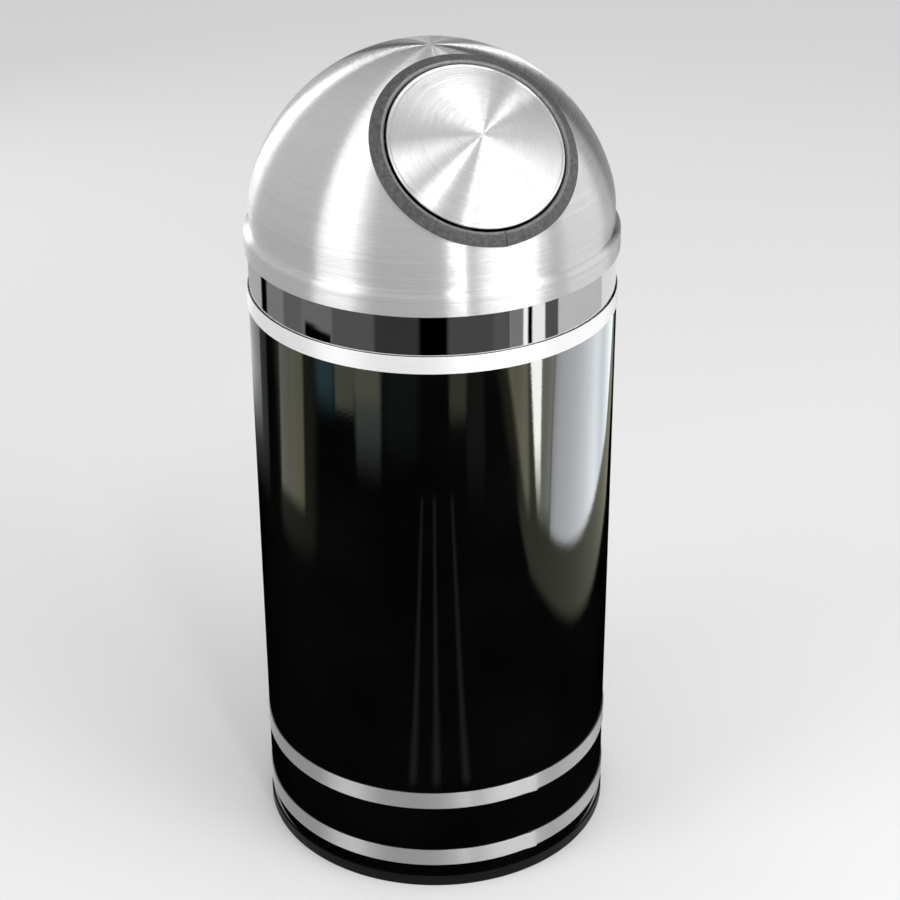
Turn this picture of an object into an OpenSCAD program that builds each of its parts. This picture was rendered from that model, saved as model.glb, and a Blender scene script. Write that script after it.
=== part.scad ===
// Dome top waste receptacle: a round black body with satin bands, a mirror
// collar, and a lift-off spun dome with a self-closing push door.
// Millimetres. Z is up, the origin is the middle of the base, the door faces -Y.

/* [Body] */
// Outside diameter of the body shell
body_d = 381; // [320:1:460]
// Height of the body, from the floor to the top edge of the upper band
body_h = 641; // [450:1:800]
// Wall of the body shell
shell_t = 1.2; // [1:0.1:2]
// Height of the vinyl ring round the bottom edge
base_ring_h = 12.5; // [8:0.5:20]
// Wall of the vinyl base ring
base_ring_t = 1.2; // [0.8:0.1:2]
// Vinyl under the shell's bottom edge
base_pad_t = 2.2; // [1:0.1:5]
// Height of the floor pan's underside above the floor
pan_z = 14; // [8:0.5:20]
// Sheet of the floor pan
pan_t = 1.2; // [0.8:0.1:2.5]
// Height of the floor pan's upturned flange
pan_flange_h = 24; // [22:0.5:40]

/* [Bands and collar] */
// Thickness of the satin bands
band_t = 1; // [0.6:0.1:2]
// Height of the two lower bands
lower_band_h = 20; // [14:0.5:30]
// Bottom edge of the lower band above the floor
lower_band_z = 28; // [24:0.5:34]
// Clear black stripe between the lower and the middle band
lower_stripe_h = 56; // [20:1:120]
// Height of the upper band
upper_band_h = 18; // [12:0.5:30]
// Sheet of the mirror collar
collar_t = 1.2; // [0.8:0.1:2]
// Height of the collar that shows between the body and the dome
neck_h = 42; // [20:1:80]
// Depth that the collar reaches down inside the shell
collar_overlap = 32; // [24:1:60]

/* [Dome] */
// Sheet of the spun dome
dome_t = 1.5; // [1:0.1:2.5]
// How far the skirt stands out past the body's radius
skirt_overhang = 2; // [1.5:0.1:6]
// Height of the skirt, with its rounded step
skirt_h = 24; // [16:0.5:50]
// Radial step from the skirt in to the dome's wall
dome_step = 6; // [5.5:0.1:7]
// Straight wall between the step and the shoulder
wall_h = 16.5; // [4:0.5:60]
// Radius of the shoulder where the wall turns into the crown, as a share of the wall's radius
shoulder_share = 0.5362; // [0.4:0.001:0.55]
// Height of the crown above the straight wall, as a share of the wall's radius
crown_share = 0.8874; // [0.86:0.001:0.95]

/* [Door] */
// Tilt of the door's axis above the horizon
door_tilt = 47.5; // [46:0.5:56]
// Radius of the hole cut in the dome, as a share of the crown's radius
opening_share = 0.4977; // [0.46:0.001:0.5]
// Running gap between the door's rim and the trim
door_gap = 3; // [1.5:0.1:6]
// Sheet of the door
door_t = 1.5; // [1:0.1:2.5]
// Wire radius of the door's rolled rim
door_bead_r = 1.6; // [1.2:0.1:2]
// How far the door's face lies below the dome's surface
door_set = 0.5; // [0:0.1:2]
// Wall of the vinyl edge trim
trim_t = 2; // [1:0.1:2.5]
// Width of the trim's lips past the hole's edge
trim_lip = 9.5; // [5:0.5:9.5]

/* [Door hinge] */
// Diameter of the hinge pin
pin_d = 4; // [3:0.1:4.4]
// Distance of the pin from the door's rim, along the door
pin_inset = 11.5; // [10:0.5:16]
// Depth of the pin below the door's face
pin_depth = 12.6; // [11.5:0.1:16]
// Sheet of the two hinge plates
hinge_t = 2; // [1.5:0.1:2.5]
// Outer radius of the hinge eyes
eye_r = 5; // [4.5:0.1:5.5]
// Length of the pin between its heads
pin_span = 56.6; // [50:0.2:70]
// Length of the hinge feet along the dome and the door
foot_len = 22; // [18:0.5:24]
// Radius of the welded studs
stud_r = 2.5; // [2:0.1:3]
// Wire diameter of the door springs
spring_wire_d = 1.2; // [1:0.1:1.3]
// Number of curls in each spring
spring_curls = 8; // [5:1:9]
// Clear gap between two curls
spring_gap = 0.5; // [0.45:0.05:0.8]
// Width of the door stop straps
stop_w = 16; // [10:1:24]
// Turn of each stop from the foot of the door
stop_turn = 25; // [10:1:50]
// Thickness of the rubber stop pads
pad_t = 2.5; // [1.5:0.1:3.5]

/* [Liner] */
// Clear space between the shell and the liner
liner_clear = 17.3; // [15:0.1:30]
// Height of the liner
liner_h = 594; // [400:1:610]
// Sheet of the liner
liner_t = 0.8; // [0.6:0.1:1.5]
// Radius of the liner's rolled rim
rim_r = 3; // [2:0.1:4]
// Height of the liner's bottom above its lower edge
liner_foot = 9; // [5:0.5:20]
// Wire diameter of the liner handles
handle_wire_d = 5; // [4:0.1:6]
// Distance between the legs of a handle, centre to centre
handle_w = 88; // [70:1:110]
// Drop of a handle, from its pivot to the middle of its grip
handle_drop = 48; // [40:1:70]
// Depth of the handle pivots below the liner's rim
pivot_drop = 24; // [20:1:40]
// Distance of the handle pivots in from the liner's wall
pivot_inset = 17.2; // [15:0.1:24]
// Sheet of the handle ears
ear_t = 1.6; // [1.2:0.1:2.5]

/* [Fits] */
// Radial clearance of a turning pin in its eye
run_clear = 0.05; // [0.02:0.01:0.1]
// Gap between nested curved sheets that are fixed together
nest_gap = 0.1; // [0.05:0.01:0.2]
// Gap between separate assemblies where one rests on another
seat_gap = 0.3; // [0.1:0.05:0.6]
// Radius of the rivet shanks
rivet_r = 2.4; // [1.6:0.1:2.6]
// Radius of the rivet heads
rivet_head_r = 4.2; // [3.6:0.1:4.6]
// Height of the rivet heads
rivet_head_h = 1.4; // [1:0.1:2]
// Rivets in each ring round the body
ring_rivets = 8; // [4:1:12]

/* [Hidden] */
$fn = 96;

// A cut runs this far past what it cuts
over = 1;

// Body and collar
base_lip_w = 3;
base_lip_h = 7;
shell_edge_drop = 0.5;
rivet_edge = 1;
body_r = body_d / 2;
shell_in_r = body_r - shell_t;
middle_band_z = lower_band_z + lower_band_h + lower_stripe_h;
upper_band_z = body_h - upper_band_h;
shell_top_z = body_h - shell_edge_drop;
pan_flange_r = shell_in_r - nest_gap;
pan_rivet_z = pan_z + pan_flange_h - rivet_head_r - rivet_edge;
collar_r = shell_in_r - nest_gap;
collar_in_r = collar_r - collar_t;
collar_rivet_z = upper_band_z + upper_band_h / 2;

// Dome: a straight wall, a shoulder arc and a spherical crown, tangent to each other
dome_rim_z = body_h + neck_h;
skirt_r = body_r + skirt_overhang;
wall_r = skirt_r - dome_step;
step_z = dome_rim_z + skirt_h - dome_step;
spring_z = dome_rim_z + skirt_h + wall_h;
shoulder_r = shoulder_share * wall_r;
shoulder_x = wall_r - shoulder_r;
crown_h = crown_share * wall_r;
crown_r = (pow(shoulder_x, 2) + pow(crown_h, 2) - pow(shoulder_r, 2)) / (2 * (crown_h - shoulder_r));
crown_z = spring_z + crown_h - crown_r;
tangent_angle = atan2(spring_z - crown_z, shoulder_x);
// The collar's top edge carries the dome under its rounded step
seat_drop = sqrt(pow(dome_step - dome_t, 2) - pow(collar_r - wall_r, 2));
collar_top_z = step_z + seat_drop - seat_gap;

// Door, in a frame with its origin at the crown's centre and Z out along the door's axis
crown_in_r = crown_r - dome_t;
opening_r = opening_share * crown_r;
trim_in_r = opening_r - trim_t;
trim_out_r = opening_r + trim_lip;
lip_in_r = crown_in_r - nest_gap - trim_t;
door_r = trim_in_r - door_gap;
face_r = crown_r - door_set;
door_back_r = face_r - door_t;
bead_rho = door_r - door_bead_r;
bead_set = 1;
bead_sphere_r = face_r - bead_set;
bead_z = sqrt(pow(bead_sphere_r, 2) - pow(bead_rho, 2));

// Hinge, in the door's frame: the pin lies along X at (pin_y, pin_z)
pin_r = pin_d / 2;
pin_y = door_r - pin_inset;
pin_z = sqrt(pow(face_r, 2) - pow(pin_y, 2)) - pin_depth;
bracket_half = pin_span / 2 - seat_gap;
lug_clear = 4;
leaf_half = bracket_half - hinge_t - lug_clear;
foot_clear = 2;
bracket_foot_y = trim_out_r + foot_clear;
bracket_foot_r = crown_in_r - nest_gap;
leaf_foot_y = pin_y - lug_clear;
leaf_foot_r = door_back_r - nest_gap;
arm_clear = 3.3;
arm_r = lip_in_r - arm_clear;
nut_h = 3.5;
nut_wall = 2.4;
nut_r = stud_r + nut_wall;
stud_end = 3;
stud_len = nut_h + hinge_t + stud_end;
bracket_stud_turn = asin((bracket_foot_y + foot_len / 2) / bracket_foot_r);
leaf_stud_turn = asin((leaf_foot_y - foot_len / 2) / leaf_foot_r);
bracket_stud_spread = 5.5;
leaf_stud_spread = 3;

// Springs
spring_ease = 0.6;
spring_r = pin_r + spring_wire_d / 2 + spring_ease;
spring_pitch = spring_wire_d + spring_gap;
spring_len = spring_curls * spring_pitch;
spring_lead = 149;
quarter_turn = 90;
spring_start = spring_lead - quarter_turn;
spring_leg = 20.6;
spring_tail = 9;
spring_side = 0.4;
spring_end_x = leaf_half - hinge_t - spring_wire_d / 2 - spring_side;
rod_r = 1.5;
rod_y = pin_y + spring_r + spring_wire_d / 2 + seat_gap + rod_r;
rod_z = pin_z - spring_tail + rod_r;

// Door stops
stop_face_r = lip_in_r - seat_gap - pad_t - nest_gap;
stop_hold = 25;
stop_bend = 9;
stop_reach = 6.5;
stop_foot_near = door_r - stop_hold;
stop_step_rho = door_r - stop_bend;
stop_end_rho = trim_in_r + stop_reach;
stop_sheet_t = 1.5;
pad_edge = 0.5;

// Liner
liner_r = shell_in_r - liner_clear;
liner_in_r = liner_r - liner_t;
liner_z = pan_z + pan_t + seat_gap;
liner_top_z = liner_z + liner_h;
pivot_z = liner_top_z - pivot_drop;
pivot_x = liner_in_r - pivot_inset;
handle_wire_r = handle_wire_d / 2;
grip_bend_r = 10;
pin_bend_r = 6;
ear_clear = 2;
ear_y = handle_w / 2 + pin_bend_r + ear_clear;
ear_half_h = 8;
ear_plate_w = 16;
ear_plate_drop = 27;
ear_rivet_drop = 18.5;
ear_rivet_z = pivot_z - ear_rivet_drop;
ear_rivet_turn = asin((ear_y + ear_t / 2) / liner_r);
pin_over = 3.5;
handle_pin_end = ear_y + ear_t + pin_over;

// A tube between two radii
module tube(outer, inner, z, h) {
    difference() {
        translate([0, 0, z]) cylinder(r = outer, h = h);
        translate([0, 0, z - over]) cylinder(r = inner, h = h + 2 * over);
    }
}

// A spherical sheet between two radii
module ball_sheet(outer, inner) {
    difference() {
        sphere(r = outer);
        sphere(r = inner);
    }
}

// Places its children in the door's frame
module door_frame() {
    translate([0, 0, crown_z]) rotate([90 - door_tilt, 0, 0]) children();
}

// Points +Z outwards along a radius, at an angle from +X and a height
module outwards(turn, z) {
    translate([0, 0, z]) rotate([0, 0, turn]) rotate([0, 90, 0]) children();
}

// A rivet or a hole along +Z, between two distances from the axis
module rod_between(radius, from_r, to_r) {
    translate([0, 0, from_r]) cylinder(r = radius, h = to_r - from_r);
}

// Evenly spaced radial places round the body
module rivet_ring(z) {
    for (i = [0:ring_rivets - 1]) outwards(360 / ring_rivets * (i + 0.5), z) children();
}

/* Body */

module base_ring() {
    color([0.05, 0.05, 0.05]) difference() {
        cylinder(r = body_r + base_ring_t, h = base_ring_h);
        translate([0, 0, -over]) cylinder(r = shell_in_r - base_lip_w, h = base_ring_h + 2 * over);
        tube(body_r + nest_gap, shell_in_r - nest_gap, base_pad_t, base_ring_h);
        translate([0, 0, base_lip_h]) cylinder(r = shell_in_r, h = base_ring_h);
    }
}

module body_shell() {
    color([0.02, 0.02, 0.02]) difference() {
        tube(body_r, shell_in_r, base_pad_t, shell_top_z - base_pad_t);
        rivet_ring(pan_rivet_z) rod_between(rivet_r + nest_gap, shell_in_r - over, body_r + over);
        rivet_ring(collar_rivet_z) rod_between(rivet_r + nest_gap, shell_in_r - over, body_r + over);
    }
}

module floor_pan() {
    color([0.6, 0.61, 0.62]) difference() {
        translate([0, 0, pan_z]) cylinder(r = pan_flange_r, h = pan_flange_h);
        translate([0, 0, pan_z + pan_t]) cylinder(r = pan_flange_r - pan_t, h = pan_flange_h);
        rivet_ring(pan_rivet_z) rod_between(rivet_r + nest_gap, pan_flange_r - 2 * pan_t, body_r);
    }
}

// A ring of rivets from the shell's outside through a sheet, with heads inside it
module shell_rivets(z, sheet_in_r) {
    head_r = sheet_in_r - nest_gap;
    color([0.75, 0.75, 0.76]) rivet_ring(z) {
        rod_between(rivet_r, head_r, body_r - nest_gap);
        rod_between(rivet_head_r, head_r - rivet_head_h, head_r);
    }
}

module pan_rivets() { shell_rivets(pan_rivet_z, pan_flange_r - pan_t); }

// A satin band round the shell
module band(z, h) {
    color([0.8, 0.8, 0.8]) tube(body_r + nest_gap + band_t, body_r + nest_gap, z, h);
}

module lower_band() { band(lower_band_z, lower_band_h); }

module middle_band() { band(middle_band_z, lower_band_h); }

module upper_band() { band(upper_band_z, upper_band_h); }

module neck_collar() {
    color([0.9, 0.9, 0.92]) difference() {
        tube(collar_r, collar_in_r, body_h - collar_overlap, collar_top_z - body_h + collar_overlap);
        rivet_ring(collar_rivet_z) rod_between(rivet_r + nest_gap, collar_in_r - over, collar_r + over);
    }
}

module collar_rivets() { shell_rivets(collar_rivet_z, collar_in_r); }

/* Liner */

// Radial places of the four ear rivets
module ear_rivet_places() {
    for (side = [0, 180], s = [-1, 1]) outwards(side + s * ear_rivet_turn, ear_rivet_z) children();
}

module liner_tub() {
    color([0.62, 0.64, 0.66]) difference() {
        union() {
            tube(liner_r, liner_in_r, liner_z, liner_h - rim_r);
            translate([0, 0, liner_top_z - rim_r]) rotate_extrude()
                translate([liner_r + rim_r - liner_t, 0]) circle(r = rim_r);
        }
        ear_rivet_places() rod_between(rivet_r + nest_gap, liner_in_r - over, liner_r + over);
    }
}

module liner_bottom() {
    bottom_r = liner_in_r - nest_gap;
    color([0.62, 0.64, 0.66]) difference() {
        translate([0, 0, liner_z]) cylinder(r = bottom_r, h = liner_foot + liner_t);
        translate([0, 0, liner_z - over]) cylinder(r = bottom_r - liner_t, h = liner_foot + over);
    }
}

// Two ears on the liner's +X side: a curved plate with a lug that holds the handle's end
module ears() {
    plate_r = liner_in_r - nest_gap;
    color([0.55, 0.56, 0.58]) for (s = [0, 1]) mirror([0, s, 0]) difference() {
        union() {
            intersection() {
                tube(plate_r, plate_r - ear_t, pivot_z - ear_plate_drop, ear_plate_drop + ear_half_h);
                translate([0, ear_y + ear_t / 2 - ear_plate_w / 2, 0])
                    cube([liner_r, ear_plate_w, liner_top_z]);
            }
            intersection() {
                cylinder(r = plate_r - ear_t / 2, h = liner_top_z);
                translate([pivot_x, ear_y, pivot_z - ear_half_h]) cube([liner_r, ear_t, 2 * ear_half_h]);
            }
            translate([pivot_x, ear_y, pivot_z]) rotate([-90, 0, 0]) cylinder(r = ear_half_h, h = ear_t);
        }
        translate([pivot_x, ear_y - over, pivot_z]) rotate([-90, 0, 0])
            cylinder(r = handle_wire_r + run_clear, h = ear_t + 2 * over);
        outwards(ear_rivet_turn, ear_rivet_z) rod_between(rivet_r + nest_gap, plate_r - 3 * ear_t, liner_r);
    }
}

module handle_ears_right() { ears(); }

module handle_ears_left() { mirror([1, 0, 0]) ears(); }

module liner_rivets() {
    inner = liner_in_r - nest_gap - ear_t;
    color([0.75, 0.75, 0.76]) ear_rivet_places() {
        rod_between(rivet_r, inner - nest_gap, liner_r + nest_gap + rivet_head_h);
        rod_between(rivet_head_r, inner - nest_gap - rivet_head_h, inner - nest_gap);
        rod_between(rivet_head_r, liner_r + nest_gap, liner_r + nest_gap + rivet_head_h);
    }
}

// A wire bend of a quarter turn in the YZ plane, from +Y round to +Z of its centre
module wire_bend(bend_r, wire_r, start) {
    rotate([90, 0, 90]) rotate([0, 0, start]) rotate_extrude(angle = 90)
        translate([bend_r, 0]) circle(r = wire_r);
}

// A swing handle on the liner's +X side, hanging at rest
module handle() {
    half = handle_w / 2;
    color([0.66, 0.67, 0.69]) translate([pivot_x, 0, pivot_z]) {
        translate([0, -half + grip_bend_r, -handle_drop]) rotate([-90, 0, 0])
            cylinder(r = handle_wire_r, h = handle_w - 2 * grip_bend_r);
        for (s = [0, 1]) mirror([0, s, 0]) {
            translate([0, half - grip_bend_r, grip_bend_r - handle_drop])
                wire_bend(grip_bend_r, handle_wire_r, -90);
            translate([0, half, grip_bend_r - handle_drop])
                cylinder(r = handle_wire_r, h = handle_drop - grip_bend_r - pin_bend_r);
            translate([0, half + pin_bend_r, -pin_bend_r]) wire_bend(pin_bend_r, handle_wire_r, 90);
            translate([0, half + pin_bend_r, 0]) rotate([-90, 0, 0])
                cylinder(r = handle_wire_r, h = handle_pin_end - half - pin_bend_r);
        }
    }
}

module liner_handle_right() { handle(); }

module liner_handle_left() { mirror([1, 0, 0]) handle(); }

/* Dome */

// Half outline of the dome, drawn in by one sheet for its inside
module dome_outline(inset, foot) {
    far = 2 * crown_r;
    translate([0, dome_rim_z - foot]) square([skirt_r - inset, step_z - dome_rim_z + foot]);
    intersection() {
        translate([wall_r, step_z]) circle(r = dome_step - inset);
        translate([wall_r - dome_step, step_z]) square([2 * dome_step, dome_step]);
    }
    translate([0, step_z]) square([wall_r - inset, spring_z - step_z]);
    intersection() {
        translate([shoulder_x, spring_z]) circle(r = shoulder_r - inset);
        translate([0, spring_z]) square([wall_r, crown_h]);
    }
    intersection() {
        translate([0, crown_z]) circle(r = crown_r - inset);
        translate([0, crown_z]) polygon([[0, 0], far * [cos(tangent_angle), sin(tangent_angle)], [0, far]]);
    }
}

module dome_shell() {
    color([0.82, 0.82, 0.83]) difference() {
        rotate_extrude() dome_outline(0, 0);
        rotate_extrude() dome_outline(dome_t, over);
        door_frame() cylinder(r = opening_r, h = 2 * crown_r);
    }
}

// A vinyl channel over the hole's edge: two lips and the wall between them
module door_trim() {
    color([0.13, 0.13, 0.13]) door_frame() {
        intersection() {
            difference() {
                sphere(r = crown_r + nest_gap + trim_t);
                sphere(r = lip_in_r);
            }
            tube(opening_r - nest_gap, trim_in_r, 0, 2 * crown_r);
        }
        intersection() {
            ball_sheet(crown_r + nest_gap + trim_t, crown_r + nest_gap);
            tube(trim_out_r, opening_r - trim_t / 2, 0, 2 * crown_r);
        }
        intersection() {
            ball_sheet(crown_in_r - nest_gap, lip_in_r);
            tube(trim_out_r, opening_r - trim_t / 2, 0, 2 * crown_r);
        }
    }
}

// Turns +Z to a radius of the crown, tipped up the door and then to one side
module crown_radius(up, side) {
    rotate([-up, 0, 0]) rotate([0, side, 0]) children();
}

module stud_places(up, spread) {
    for (s = [-1, 1]) crown_radius(up, s * spread) children();
}

// A plate in the YZ plane, at a distance from the middle on both sides
module paired_plates(x, t) {
    for (s = [0, 1]) mirror([s, 0, 0]) translate([x - t, 0, 0]) rotate([90, 0, 90])
        linear_extrude(height = t) children();
}

module pin_bores(h) {
    translate([-h / 2, pin_y, pin_z]) rotate([0, 90, 0]) cylinder(r = pin_r + run_clear, h = h);
}

module hinge_bracket() {
    foot_end = bracket_foot_y + foot_len;
    color([0.5, 0.51, 0.52]) door_frame() difference() {
        union() {
            intersection() {
                ball_sheet(bracket_foot_r, bracket_foot_r - hinge_t);
                translate([-bracket_half, bracket_foot_y, 0]) cube([2 * bracket_half, foot_len, crown_r]);
            }
            intersection() {
                sphere(r = arm_r);
                paired_plates(bracket_half, hinge_t) polygon([
                    [pin_y - 2, pin_z - eye_r + 1], [pin_y + 1, pin_z + eye_r - 1],
                    [bracket_foot_y, crown_r], [bracket_foot_y, pin_z - foot_len],
                ]);
            }
            intersection() {
                sphere(r = bracket_foot_r - hinge_t / 2);
                paired_plates(bracket_half, hinge_t) polygon([
                    [bracket_foot_y, pin_z - foot_len], [bracket_foot_y, crown_r],
                    [foot_end, crown_r], [foot_end, pin_z - 1.6 * foot_len],
                ]);
            }
            paired_plates(bracket_half, hinge_t) translate([pin_y, pin_z]) circle(r = eye_r);
            translate([-bracket_half + hinge_t / 2, rod_y, rod_z]) rotate([0, 90, 0])
                cylinder(r = rod_r, h = 2 * bracket_half - hinge_t);
        }
        pin_bores(2 * pin_span);
        stud_places(bracket_stud_turn, bracket_stud_spread)
            rod_between(stud_r + nest_gap, bracket_foot_r - 2 * hinge_t, crown_r);
    }
}

// Studs that stand in from a sheet
module studs(up, spread, sheet_r) {
    color([0.7, 0.7, 0.71]) door_frame() stud_places(up, spread)
        rod_between(stud_r, sheet_r - stud_len, sheet_r - nest_gap);
}

// Hexagon nuts that hold a hinge foot on its studs
module nuts(up, spread, foot_r) {
    color([0.7, 0.7, 0.71]) door_frame() stud_places(up, spread) difference() {
        translate([0, 0, foot_r - hinge_t - nest_gap - nut_h]) cylinder(r = nut_r, h = nut_h, $fn = 6);
        rod_between(stud_r + nest_gap, foot_r - hinge_t - 2 * nut_h, foot_r);
    }
}

module bracket_studs() { studs(bracket_stud_turn, bracket_stud_spread, crown_in_r); }

module bracket_nuts() { nuts(bracket_stud_turn, bracket_stud_spread, bracket_foot_r); }

module hinge_pin() {
    head_t = 1.5;
    color([0.7, 0.7, 0.71]) door_frame() translate([-pin_span / 2, pin_y, pin_z]) rotate([0, 90, 0]) {
        cylinder(r = pin_r, h = pin_span);
        translate([0, 0, -head_t]) cylinder(r = pin_r + 1.4, h = head_t);
        translate([0, 0, pin_span]) cylinder(r = pin_r + 1.4, h = head_t);
    }
}

/* Door */

module door_panel() {
    color([0.85, 0.85, 0.86]) door_frame() union() {
        intersection() {
            ball_sheet(face_r, door_back_r);
            cylinder(r = bead_rho, h = 2 * crown_r);
        }
        translate([0, 0, bead_z]) rotate_extrude() translate([bead_rho, 0]) circle(r = door_bead_r);
    }
}

module hinge_leaf() {
    color([0.5, 0.51, 0.52]) door_frame() difference() {
        union() {
            intersection() {
                ball_sheet(leaf_foot_r, leaf_foot_r - hinge_t);
                translate([-leaf_half, leaf_foot_y - foot_len, 0]) cube([2 * leaf_half, foot_len, crown_r]);
            }
            intersection() {
                sphere(r = leaf_foot_r - hinge_t / 2);
                paired_plates(leaf_half, hinge_t) polygon([
                    [pin_y - eye_r + 0.2, pin_z], [pin_y + eye_r - 1, pin_z],
                    [pin_y + eye_r - 1.5, crown_r], [leaf_foot_y - foot_len + 2, crown_r],
                ]);
            }
            paired_plates(leaf_half, hinge_t) translate([pin_y, pin_z]) circle(r = eye_r);
        }
        pin_bores(2 * pin_span);
        stud_places(leaf_stud_turn, leaf_stud_spread)
            rod_between(stud_r + nest_gap, leaf_foot_r - 2 * hinge_t, crown_r);
    }
}

module leaf_studs() { studs(leaf_stud_turn, leaf_stud_spread, door_back_r); }

module leaf_nuts() { nuts(leaf_stud_turn, leaf_stud_spread, leaf_foot_r); }

// A closed tube along points: rings of six corners, each square to the path
function unit(v) = v / norm(v);
function tangents(p) = [for (i = [0:len(p) - 1])
    unit(p[min(i + 1, len(p) - 1)] - p[max(i - 1, 0)])];
module wire(points, radius) {
    sides = 6;
    n = len(points);
    t = tangents(points);
    rings = [for (i = [0:n - 1])
        let (u = unit(cross(t[i], [0.31, 0.17, 1])), v = cross(t[i], u))
        for (k = [0:sides - 1])
            points[i] + radius * (cos(360 * k / sides) * u + sin(360 * k / sides) * v)];
    walls = [for (i = [0:n - 2], k = [0:sides - 1])
        let (a = i * sides + k, b = i * sides + (k + 1) % sides)
        each [[a, a + sides, b], [b, a + sides, b + sides]]];
    first = [for (k = [1:sides - 2]) [0, k, k + 1]];
    last = [for (k = [1:sides - 2]) [for (c = [0, k + 1, k]) (n - 1) * sides + c]];
    polyhedron(points = rings, faces = concat(walls, first, last));
}

// Points of a door spring: the leg on the leaf, the curls round the pin, the leg on the rod
steps = 8;
spring_turns = spring_curls - spring_start / 360;
function spring_curl(a) = [0, spring_r * cos(a), spring_r * sin(a)];
function spring_points() =
    let (lead = [0, cos(spring_lead), sin(spring_lead)],
        start = spring_curl(spring_start),
        count = round(steps * spring_turns))
    concat(
        [start + spring_leg * lead, start + 0.5 * spring_leg * lead],
        [for (i = [0:count]) let (f = i / count)
            spring_curl(spring_start - f * (spring_start + 360 * spring_curls))
                - [f * spring_len, 0, 0]],
        [[-spring_len, spring_r, -0.5 * spring_tail], [-spring_len, spring_r, -spring_tail]]);

echo("least gap between spring curls", spring_pitch - spring_wire_d);

module spring() {
    color([0.45, 0.46, 0.48]) door_frame() translate([spring_end_x, pin_y, pin_z])
        wire(spring_points(), spring_wire_d / 2);
}

module door_spring_right() { spring(); }

module door_spring_left() { mirror([1, 0, 0]) spring(); }

// Places at the foot of the door, one on each side
module stop_places() {
    for (s = [-1, 1]) rotate([0, 0, s * stop_turn]) children();
}

// Block over the stop strap between two distances from the door's axis
module stop_block(near, far) {
    translate([-stop_w / 2, -far, 0]) cube([stop_w, far - near, crown_r]);
}

// Straps on the door's back that reach behind the trim and stop the door when it closes
module door_stops() {
    foot_r = door_back_r - nest_gap;
    color([0.5, 0.51, 0.52]) door_frame() stop_places() {
        intersection() {
            ball_sheet(foot_r, foot_r - stop_sheet_t);
            stop_block(stop_foot_near, stop_step_rho);
        }
        intersection() {
            ball_sheet(foot_r, stop_face_r - stop_sheet_t);
            stop_block(stop_step_rho - stop_sheet_t, stop_step_rho);
        }
        intersection() {
            ball_sheet(stop_face_r, stop_face_r - stop_sheet_t);
            stop_block(stop_step_rho - stop_sheet_t, stop_end_rho);
        }
    }
}

module stop_pads() {
    color([0.08, 0.08, 0.08]) door_frame() stop_places() intersection() {
        ball_sheet(stop_face_r + nest_gap + pad_t, stop_face_r + nest_gap);
        stop_block(trim_in_r + pad_edge, stop_end_rho - pad_edge);
    }
}

base_ring();
body_shell();
floor_pan();
pan_rivets();
lower_band();
middle_band();
upper_band();
neck_collar();
collar_rivets();
liner_tub();
liner_bottom();
handle_ears_left();
handle_ears_right();
liner_rivets();
liner_handle_left();
liner_handle_right();
dome_shell();
door_trim();
hinge_bracket();
bracket_studs();
bracket_nuts();
hinge_pin();
door_panel();
hinge_leaf();
leaf_studs();
leaf_nuts();
door_spring_left();
door_spring_right();
door_stops();
stop_pads();
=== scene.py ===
import math

import bmesh
import bpy
from mathutils import Matrix, Vector


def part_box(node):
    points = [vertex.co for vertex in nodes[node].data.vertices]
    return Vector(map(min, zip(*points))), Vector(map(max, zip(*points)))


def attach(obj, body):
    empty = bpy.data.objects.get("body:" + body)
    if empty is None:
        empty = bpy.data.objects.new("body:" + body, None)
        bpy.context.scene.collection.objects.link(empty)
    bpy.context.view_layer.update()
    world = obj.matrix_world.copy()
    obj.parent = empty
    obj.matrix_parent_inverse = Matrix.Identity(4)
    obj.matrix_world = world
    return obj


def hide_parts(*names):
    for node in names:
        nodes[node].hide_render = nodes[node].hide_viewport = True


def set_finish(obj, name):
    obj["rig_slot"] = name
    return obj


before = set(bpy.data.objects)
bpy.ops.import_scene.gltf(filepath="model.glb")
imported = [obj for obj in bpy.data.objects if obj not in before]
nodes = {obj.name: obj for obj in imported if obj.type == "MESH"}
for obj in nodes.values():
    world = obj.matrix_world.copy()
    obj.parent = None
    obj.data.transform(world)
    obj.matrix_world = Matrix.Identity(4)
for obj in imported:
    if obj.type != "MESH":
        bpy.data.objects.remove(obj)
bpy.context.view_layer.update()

# Sizes in metres, angles in degrees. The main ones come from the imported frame.
TURN = 2 * math.pi
LATHE_STEPS = 480
FINE_STEPS = 720
ARC_STEP = 0.0022
FINE_ARC_STEP = 0.0004
LIP_ARC_STEP = 0.0003
SHARP_ANGLE = 38
MERGE_GAP = 1e-7
ON_AXIS = 1e-9

# A rounded corner: it turns at least this much, takes at most this part of each side, and has a
# support point this many times as far out as its arc starts
CORNER_ANGLE = 30
CORNER_PART = 3.2
SUPPORT = 1.4

# Photograph's camera, in the object's frame
CAMERA_PLACE = Vector((-0.78021835, -1.90412437, 1.53974585))
CAMERA_RIGHT = Vector((0.92130526, -0.38882113, -0.0038411))
CAMERA_UP = Vector((0.18662346, 0.43349184, 0.88162152))
CAMERA_AHEAD = Vector((0.34112799, 0.81295938, -0.47194145))
FOCAL_SHARE = 2165.28 / 900
SENSOR = 36.0
CAMERA_NEAR = 0.05
CAMERA_FAR = 100.0
CAMERA_AZIMUTH = math.atan2(CAMERA_PLACE.x, -CAMERA_PLACE.y)

# Body
BODY_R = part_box("body_shell")[1].x
SHELL_T = 0.0012
NEST_GAP = 0.0001
SHELL_FOOT_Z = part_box("body_shell")[0].z
SHELL_TOP_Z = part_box("body_shell")[1].z
RING_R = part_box("base_ring")[1].x
RING_TOP_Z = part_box("base_ring")[1].z
RING_LIP_W = 0.003
RING_LIP_H = 0.007
RING_EDGE = 0.0007
SHELL_EDGE = 0.0004
COLLAR_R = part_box("neck_collar")[1].x
COLLAR_T = 0.0012

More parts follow.
